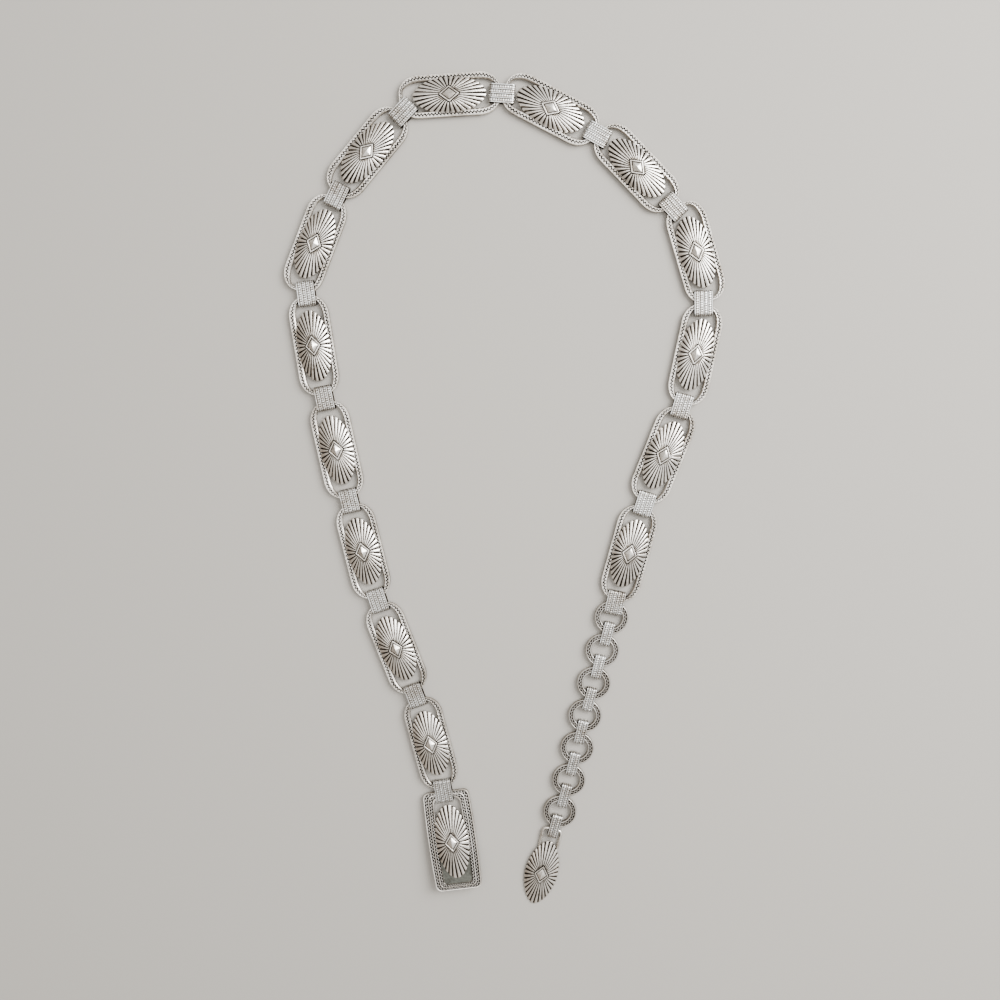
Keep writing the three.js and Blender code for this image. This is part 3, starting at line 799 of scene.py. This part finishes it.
def strip_band(name, long, wide):
    """A strip folded round and closed on itself, with plain ribs and beaded rows along it."""
    sizes = bpy.context.scene.band_sizes
    half_high = sizes.height / 2
    outer = rounded_outline(long / 2, half_high, sizes.corner, sizes.corner)
    inner = rounded_outline(long / 2 - sizes.wall, half_high - sizes.wall, sizes.fold, sizes.fold)
    bead_count = round(perimeter(outer) / sizes.bead)
    places = places_at(outer, repeated(BEAD_LINES, bead_count))
    outside = outer(places)
    inside = inner(places)
    beads = np.tile(BEAD_HEIGHTS, bead_count)
    # The strip narrows a little towards its folds
    folding = np.clip((np.abs(outside[:, 0]) - long / 2 + sizes.corner) / sizes.corner, 0, 1) ** 2
    drawn_in = 1 - 2 * sizes.round_end / wide * folding
    # As many rows as the strip has room for, all stretched alike to fill it
    beaded_rows = round((wide - sizes.rib) / (sizes.rib + sizes.row))
    fit = wide / (sizes.rib + beaded_rows * (sizes.rib + sizes.row))
    loops = []

    def line(y, inset, dark):
        """A line round the band, so far across it and so deep in the strip."""
        depth = (np.broadcast_to(inset, len(places)) / sizes.wall)[:, None]
        x, z = (outside * (1 - depth) + inside * depth).T
        loops.append(with_tarnish(x, y * drawn_in, z + half_high, dark))

    def rib(start):
        """A plain rib, dark at its foot."""
        for share, height in RIB_LINES:
            line(start + share * sizes.rib * fit, sizes.relief * (1 - height), 0.75 * (1 - height))

    start = -wide / 2
    for row in range(beaded_rows):
        rib(start)
        start += sizes.rib * fit
        # The beads of each row stand half a bead on from those of the one beside it
        bead = np.roll(beads, (row % 2) * len(BEAD_LINES) // 2)
        for share, height in BEADED_LINES:
            crest = height * bead
            line(start + share * sizes.row * fit, sizes.relief * (1 - crest), (1 - crest) ** 1.2)
        start += sizes.row * fit
    rib(start)
    # Over the strip's edge, back along its plain inner side, and up the other edge
    line(wide / 2 - 0.02 * MM, sizes.relief * 0.9, 0.3)
    line(wide / 2, sizes.wall * 0.5, 0.4)
    line(wide / 2 - 0.1 * MM, sizes.wall, 0.8)
    line(0.1 * MM - wide / 2, sizes.wall, 0.8)
    line(-wide / 2, sizes.wall * 0.5, 0.4)
    return loft(name, loops, closed=True)


class BELT_OT_bands(bpy.types.Operator):
    """Adds the folded strip bands, wide ones between links and narrow ones between rings"""
    bl_idname = "belt.bands"
    bl_label = "Bands"

    def execute(self, context):
        sizes = context.scene.band_sizes
        for start, long, wide in (
            ("wide_band_", sizes.wide_length, sizes.wide_width),
            ("narrow_band_", sizes.narrow_length, sizes.narrow_width),
        ):
            pattern = strip_band(start + "pattern", long, wide)
            coat(pattern, "bead_stamped_silver")
            dress_all(pattern, start)
        return {"FINISHED"}


class BELT_OT_rings(bpy.types.Operator):
    """Adds the seven rings, each with a stamped zigzag between plain edges"""
    bl_idname = "belt.rings"
    bl_label = "Rings"

    def execute(self, context):
        sizes = context.scene.ring_sizes
        outer = rounded_outline(*(sizes.outer / 2,) * 4)
        inner = rounded_outline(*(sizes.inner / 2,) * 4)
        rows = [
            Row(0.03, 0.0, 0.25),
            Row(0.0, 0.12, 0.3),
            Row(0.0, 0.72, 0.3),
            Row(0.04, 0.93, 0.05),
            Row(0.1, 1.0, 0.0),
            Row(0.16, 1.0, 0.0),
            *ridge_rows(0.48, 0.16, 0.06, 0.28, 0.97, 0.12, 0.75),
            Row(0.81, 1.0, 0.0),
            Row(0.89, 1.0, 0.0),
            Row(0.96, 0.92, 0.1),
            Row(1.0, 0.7, 0.35),
            Row(1.0, 0.12, 0.35),
            Row(0.97, 0.0, 0.25),
        ]
        height = context.scene.frame_sizes.height
        pattern = railed("ring_pattern", (outer, inner), 2 * sizes.zigzags, height, rows)
        coat(pattern, "cast_ring_silver")
        dress_all(pattern, "ring_")
        return {"FINISHED"}


def bent_bar(name, path, section, flat_side, tarnish, smooth=40):
    """A bar along a path that bends in one plane.

    flat_side points out of that plane. section gives the bar's outline as pairs, out of the plane
    and across it.
    """
    loops = []
    for index, point in enumerate(path):
        ahead = path[min(index + 1, len(path) - 1)] - path[max(index - 1, 0)]
        across = np.cross(ahead / np.linalg.norm(ahead), flat_side)
        ring = point + section[:, :1] * flat_side + section[:, 1:] * across
        loops.append(with_tarnish(*ring.T, tarnish))
    loops.append(with_tarnish(*(path[-1] + (ring - path[-1]) * 0.5).T, tarnish))
    return loft(name, loops, smooth=smooth)


class BELT_OT_buckle(bpy.types.Operator):
    """Adds the buckle: a plate with a window and a recessed floor, its oval, and the hook below"""
    bl_idname = "belt.buckle"
    bl_label = "Buckle"

    def execute(self, context):
        sizes = context.scene.buckle_sizes
        frames = context.scene.frame_sizes
        ovals = context.scene.concho_sizes
        half = sizes.length / 2

        def outline(side, belt, free, belt_corner, free_corner):
            """An outline that lies so far in from the plate's edges, its long sides bowed out."""
            long = half - (belt + free) / 2
            at_belt, at_free = (
                rounded_outline(long, sizes.width / 2 - side, corner, corner)
                for corner in (belt_corner, free_corner)
            )

            def at(places):
                # The half round the free end runs between the middles of the two long sides
                free_half = ((places % ONCE_ROUND > 1.5) & (places % ONCE_ROUND < 5.5))[:, None]
                points = np.where(free_half, at_free(places), at_belt(places)) + [(free - belt) / 2, 0]
                side_of_middle = np.clip(points[:, 1] / (5 * MM), -1, 1)
                out = sizes.bow * (1 - (points[:, 0] / half) ** 2) * side_of_middle
                return points + np.stack([out * 0, out], axis=1)
            return at

        # The rails end in a step, which falls to the recessed floor or through the window
        corner = sizes.corner
        small = sizes.floor_corner
        step = 0.3 * MM
        outer = outline(0, 0, 0, corner, corner)
        stamped = outline(
            sizes.rail - step, sizes.belt_rail - step, sizes.free_rail - step, corner, small,
        )
        window = outline(sizes.rail, sizes.belt_rail, sizes.free_rail, sizes.inner_corner, small)
        count = 2 * round(perimeter(outer) / sizes.zigzag)
        # The rails' foot lies just under the floor plate, which covers it at the free end
        plate_level = sizes.floor / frames.height - 0.015
        rows = [
            Row(0.02, 0.0, 0.3),
            Row(0.0, 0.1, 0.3),
            Row(0.0, 0.75, 0.3),
            Row(0.02, 0.92, 0.05),
            Row(0.05, 0.99, 0.0),
            Row(0.12, 0.99, 0.0),
            *ridge_rows(0.325, 0.095, 0.034, 0.18, 0.96, 0.15, 1.0),
            Row(0.53, 0.99, 0.0),
            Row(0.6, 0.99, 0.0),
            *ridge_rows(0.79, 0.09, 0.032, 0.17, 0.94, 0.14, 1.0),
            Row(0.98, 0.9, 0.2),
            Row(1.0, plate_level, 0.5),
            Row(1.08, plate_level, 0.1),
            Row(1.85, plate_level, 0.0),
            Row(1.97, plate_level - 0.03, 0.0),
            Row(2.0, plate_level - 0.1, 0.3),
            Row(2.0, 0.1, 0.35),
            Row(1.97, 0.0, 0.3),
        ]
        rails = railed("buckle_rails", (outer, stamped, window), count, frames.height, rows)
        coat(rails, "oxidised_stamped_silver")

        # The floor reaches from the middle of the plate into the rails on three sides
        floor_long = half - sizes.free_rail / 2
        bpy.ops.object.select_all(action="DESELECT")
        bpy.ops.mesh.primitive_cube_add(
            size=1, location=(-floor_long / 2, 0, sizes.floor / 2),
            scale=(floor_long, sizes.width - sizes.rail, sizes.floor),
        )
        floor = context.object
        bpy.ops.object.transform_apply(location=True, rotation=True, scale=True)
        mesh = edit(floor)
        layer = mesh.verts.layers.float.new("tarnish")
        for vertex in mesh.verts:
            vertex[layer] = 0.25
        bpy.ops.mesh.select_all(action="SELECT")
        bpy.ops.mesh.bevel(offset=0.12 * MM, segments=2)
        bpy.ops.object.mode_set(mode="OBJECT")
        # Only its upper side is the smooth grey plate
        coat(floor, "oxidised_stamped_silver")
        floor.data.materials.append(finish("rolled_plate_silver"))
        for face in floor.data.polygons:
            if face.normal.z > 0.5:
                face.material_index = 1

        oval = oval_concho("buckle_oval", ovals.buckle_length, ovals.buckle_width, ovals.power)
        moved(oval, Matrix.Translation((
            -sizes.oval_shift, 0, frames.height - sizes.bevel - frames.sink / 2,
        )))
        plate = joined("buckle_plate", [rails, floor, oval])

        # The plate rises from the belt end, which lies at the height of the bars, to the hook
        radius = sizes.hook_loop / 2 + sizes.hook_strip
        axis = sizes.hook_from_end + radius - half
        low = context.scene.band_sizes.wall + BAR_CLEARANCE
        pitch = math.atan((2 * radius - frames.sink - low) / (half - axis))
        moved(plate, Matrix.Translation((half, 0, low)) @ Matrix.Rotation(pitch, 4, "Y")
              @ Matrix.Translation((-half, 0, 0)))

        # The hook's path is its soldered leg, half a turn towards the free end, and its tongue
        middle = radius - sizes.hook_strip / 2
        path = [np.array([axis + sizes.hook_seat, 0, radius + middle])]
        for turn in np.linspace(math.pi / 2, 1.5 * math.pi, 17):
            path.append(np.array([axis + middle * math.cos(turn), 0, radius + middle * math.sin(turn)]))
        path.append(np.array([axis + sizes.hook_length, 0, radius - middle]))
        edge = 0.4 * MM
        across = rounded_outline(sizes.hook_width / 2, sizes.hook_strip / 2, edge, edge)
        section = across(np.linspace(0, ONCE_ROUND, 24, endpoint=False))
        hook = bent_bar("buckle_hook", path, section, np.array([0.0, 1.0, 0.0]), 0.15)
        coat(hook, "oxidised_stamped_silver")
        pattern = joined("buckle_pattern", [plate, hook])

        matrix = laid("buckle", low_end=-1)[0]
        piece = copied(pattern, "dressed_buckle", matrix)
        dress(piece, "buckle")
        cleared(pattern)
        return {"FINISHED"}


class BELT_OT_drop(bpy.types.Operator):
    """Adds the drop at the belt's end: a fluted oval on a wire bail"""
    bl_idname = "belt.drop"
    bl_label = "Drop"

    def execute(self, context):
        sizes = context.scene.drop_sizes
        frames = context.scene.frame_sizes
        ovals = context.scene.concho_sizes
        oval = oval_concho("drop_oval", ovals.drop_length, ovals.drop_width, ovals.drop_power)
        moved(oval, Matrix.Translation((
            sizes.reach + ovals.drop_length / 2, 0, sizes.wire - frames.sink,
        )))
        bar = sizes.wire / 2
        foot = sizes.reach + sizes.foot
        # Half of the bail's path runs from a foot up its leg and round the corner to its bar
        outer = sizes.width / 2 - sizes.wire / 2
        half_path = [np.array([foot, sizes.foot_width / 2, 0])]
        for turn in np.linspace(0, math.pi / 2, 8):
            x = bar + sizes.corner * (1 - math.sin(turn))
            y = outer - sizes.corner * (1 - math.cos(turn))
            half_path.append(np.array([x, y, 0]))
        path = half_path + [point * [1, -1, 1] for point in reversed(half_path)]
        turns = even(14) * 2 * math.pi
        section = np.stack([np.cos(turns), np.sin(turns)], axis=1) * sizes.wire / 2
        path = [point + [0, 0, bar] for point in path]
        bail = bent_bar("drop_bail", path, section, np.array([0.0, 0.0, 1.0]), 0.08, smooth=60)
        coat(bail, "oxidised_stamped_silver")
        pattern = joined("drop_pattern", [oval, bail])

        # The drop leans from its bar, which the band holds up, to its tip on the ground
        low = context.scene.band_sizes.wall + BAIL_CLEARANCE
        tip = sizes.reach + ovals.drop_length
        above = sizes.wire - frames.sink
        tilt = math.asin(low / math.hypot(tip, above)) + math.atan2(above, tip)
        moved(pattern, Matrix.Translation((0, 0, low)) @ Matrix.Rotation(tilt, 4, "Y"))
        matrix, half = laid("drop", low_end=1)
        piece = copied(pattern, "dressed_drop", matrix @ Matrix.Translation((-half, 0, 0)))
        dress(piece, "drop")
        cleared(pattern)
        return {"FINISHED"}


class BELT_OT_stage(bpy.types.Operator):
    """Adds the plain pale floor, the soft lights and the camera"""
    bl_idname = "belt.stage"
    bl_label = "Stage"

    def execute(self, context):
        studio = context.scene.studio
        bpy.ops.object.select_all(action="DESELECT")
        # The floor is so large that its edges lie far off in the views from the side
        bpy.ops.mesh.primitive_plane_add(size=30, location=(0, 0, CAD_BOX[0][2]))
        floor = context.object
        floor.name = "pale_floor"
        # Matt paper: an even tone with no gloss, so that only the belt's shadows show on it
        paint = bpy.data.materials.new("matt_paper")
        paint.use_nodes = True
        shader = paint.node_tree.nodes["Principled BSDF"]
        shader.inputs["Base Color"].default_value = linear(studio.floor)
        shader.inputs["Roughness"].default_value = 0.85
        floor.data.materials.append(paint)

        for name, place, size, power in (
            ("key_window", (0.75, 0.45, 0.85), 0.8, studio.key),
            ("overhead_fill", (-0.1, 0.1, 1.3), 1.0, studio.fill),
        ):
            bpy.ops.object.light_add(type="AREA", location=place)
            light = context.object
            light.name = name
            light.data.name = name
            light.data.shape = "SQUARE"
            light.data.size = size
            light.data.energy = power
            light.rotation_euler = (-Vector(place)).to_track_quat("-Z", "Y").to_euler()

        world = context.scene.world or bpy.data.worlds.new("soft_room")
        context.scene.world = world
        world.use_nodes = True
        tree = world.node_tree
        tree.nodes.clear()
        # Light comes from the upper right, so the room is brighter there, and warm and dim at the left
        brightest = (0.75, 0.35, 0.55)
        towards = add(tree, "ShaderNodeTexCoord").outputs["Generated"]
        sides = add(tree, "ShaderNodeVectorMath", {"operation": "DOT_PRODUCT"}, _0=towards)
        sides.inputs[1].default_value = brightest
        both_ways = {"From Min": -1.0, "From Max": 1.0}
        spread = add(tree, "ShaderNodeMapRange", both_ways, Value=sides.outputs["Value"])
        room = add(tree, "ShaderNodeValToRGB", Fac=spread.outputs[0])
        stops = room.color_ramp.elements
        stops[0].position = 0.2
        stops[0].color = linear(studio.dim_side)
        stops[1].position = 0.9
        stops[1].color = linear(studio.bright_side)
        stops.new(0.55).color = linear(studio.walls)
        back = add(tree, "ShaderNodeBackground", Color=room.outputs[0])
        back.inputs["Strength"].default_value = studio.sky
        out = add(tree, "ShaderNodeOutputWorld")
        tree.links.new(back.outputs[0], out.inputs[0])

        bpy.ops.object.camera_add(location=tuple(studio.camera), rotation=tuple(studio.aim))
        camera = context.object
        camera.name = "camera"
        camera.data.lens = studio.lens
        camera.data.sensor_width = 36
        context.scene.camera = camera
        return {"FINISHED"}


class BELT_PT_panel(bpy.types.Panel):
    """Lists the buttons that add the pieces, and every size and colour"""
    bl_idname = "BELT_PT_panel"
    bl_label = "Concho Belt"
    bl_space_type = "VIEW_3D"
    bl_region_type = "UI"
    bl_category = "Concho Belt"

    def draw(self, context):
        for operator in OPERATORS:
            self.layout.operator(operator.bl_idname)
        for name, group in GROUPS.items():
            box = self.layout.box()
            box.label(text=name.replace("_", " ").capitalize())
            for setting in group.__annotations__:
                box.prop(getattr(context.scene, name), setting)


OPERATORS = (BELT_OT_links, BELT_OT_bands, BELT_OT_rings, BELT_OT_buckle, BELT_OT_drop, BELT_OT_stage)


def register():
    """Registers the settings, the operators and the panel."""
    for group in GROUPS.values():
        bpy.utils.register_class(group)
    for name, group in GROUPS.items():
        setattr(bpy.types.Scene, name, PointerProperty(type=group))
    for operator in OPERATORS:
        bpy.utils.register_class(operator)
    bpy.utils.register_class(BELT_PT_panel)


def unregister():
    """Takes back what register does, in the opposite order."""
    bpy.utils.unregister_class(BELT_PT_panel)
    for operator in reversed(OPERATORS):
        bpy.utils.unregister_class(operator)
    for name, group in GROUPS.items():
        delattr(bpy.types.Scene, name)
        bpy.utils.unregister_class(group)


def main():
    """Adds every piece and the stage."""
    register()
    bpy.ops.belt.links()
    bpy.ops.belt.bands()
    bpy.ops.belt.rings()
    bpy.ops.belt.buckle()
    bpy.ops.belt.drop()
    bpy.ops.belt.stage()


if __name__ == "__main__":
    main()
